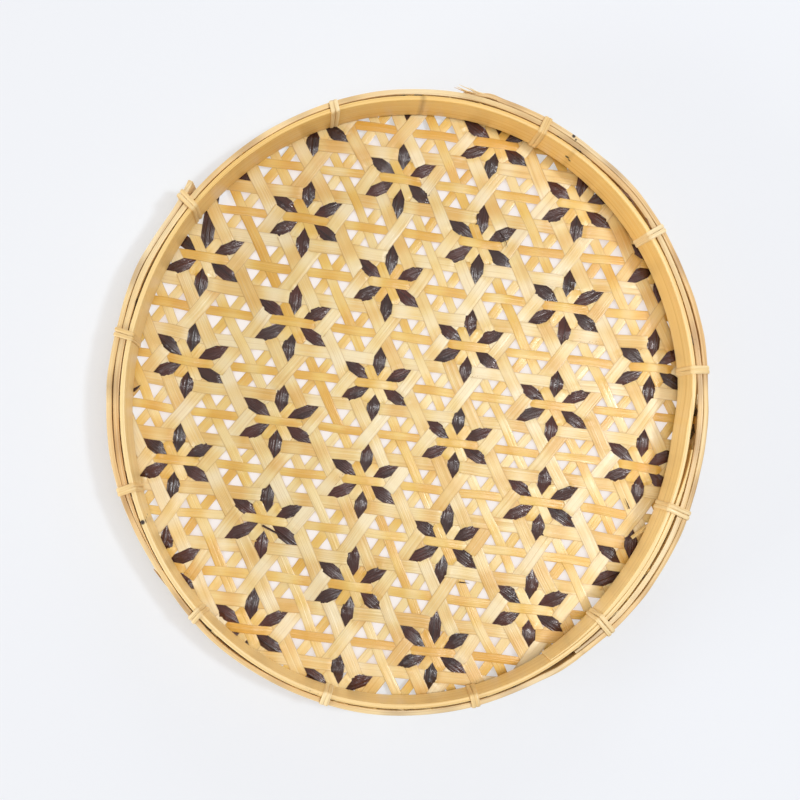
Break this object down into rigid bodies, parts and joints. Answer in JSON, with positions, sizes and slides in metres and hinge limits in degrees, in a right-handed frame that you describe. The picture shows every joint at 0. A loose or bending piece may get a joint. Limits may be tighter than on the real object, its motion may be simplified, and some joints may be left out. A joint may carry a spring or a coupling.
{
  "type": "woven wall plate",
  "caption": "Round shallow plate of split bamboo: a three-way open weave with dark six-petal flowers, clamped between an inner and an outer hoop and tied with split rattan.",
  "frame": {"origin": "middle of the outline, on the plane that the back rests on", "axes": "+Z out of the open side, away from the wall; +Y up in the picture, within ten degrees of the oval rim's long axis; +X to the right in the picture"},
  "size_m": [0.3014, 0.3128, 0.0318],
  "materials": {
    "base_bamboo": "pale split bamboo, satin, unpainted",
    "inlay_bamboo": "golden split bamboo, satin, unpainted",
    "dark_bamboo": "dark brown smoked or dyed bamboo skin, glossy",
    "hoop_bamboo": "flat bamboo band, satin",
    "splint_bamboo": "bamboo splint with brown edges, satin",
    "rattan": "split rattan strand, satin"
  },
  "bodies": {
    "root": {"base_strip_across_01": "base_bamboo", "base_strip_across_02": "base_bamboo", "base_strip_across_03": "base_bamboo", "base_strip_across_04": "base_bamboo", "base_strip_across_05": "base_bamboo", "base_strip_across_06": "base_bamboo", "base_strip_across_07": "base_bamboo", "base_strip_across_08": "base_bamboo", "base_strip_across_09": "base_bamboo", "base_strip_across_10": "base_bamboo", "base_strip_across_11": "base_bamboo", "base_strip_falling_01": "base_bamboo", "base_strip_falling_02": "base_bamboo", "base_strip_falling_03": "base_bamboo", "base_strip_falling_04": "base_bamboo", "base_strip_falling_05": "base_bamboo", "base_strip_falling_06": "base_bamboo", "base_strip_falling_07": "base_bamboo", "base_strip_falling_08": "base_bamboo", "base_strip_falling_09": "base_bamboo", "base_strip_falling_10": "base_bamboo", "base_strip_falling_11": "base_bamboo", "base_strip_rising_01": "base_bamboo", "base_strip_rising_02": "base_bamboo", "base_strip_rising_03": "base_bamboo", "base_strip_rising_04": "base_bamboo", "base_strip_rising_05": "base_bamboo", "base_strip_rising_06": "base_bamboo", "base_strip_rising_07": "base_bamboo", "base_strip_rising_08": "base_bamboo", "base_strip_rising_09": "base_bamboo", "base_strip_rising_10": "base_bamboo", "inlay_strips_across": "inlay_bamboo", "inlay_strips_falling": "inlay_bamboo", "inlay_strips_rising": "inlay_bamboo", "flower_strips_upright": "dark_bamboo", "flower_strips_falling": "dark_bamboo", "flower_strips_rising": "dark_bamboo", "turned_up_edge": "base_bamboo", "inner_hoop": "hoop_bamboo", "outer_hoop_splint_a": "splint_bamboo", "outer_hoop_splint_b": "splint_bamboo", "binding_01": "rattan", "binding_02": "rattan", "binding_03": "rattan", "binding_04": "rattan", "binding_05": "rattan", "binding_06": "rattan", "binding_07": "rattan", "binding_08": "rattan", "binding_09": "rattan", "binding_10": "rattan", "binding_11": "rattan", "binding_12": "rattan"}
  },
  "joints": []
}
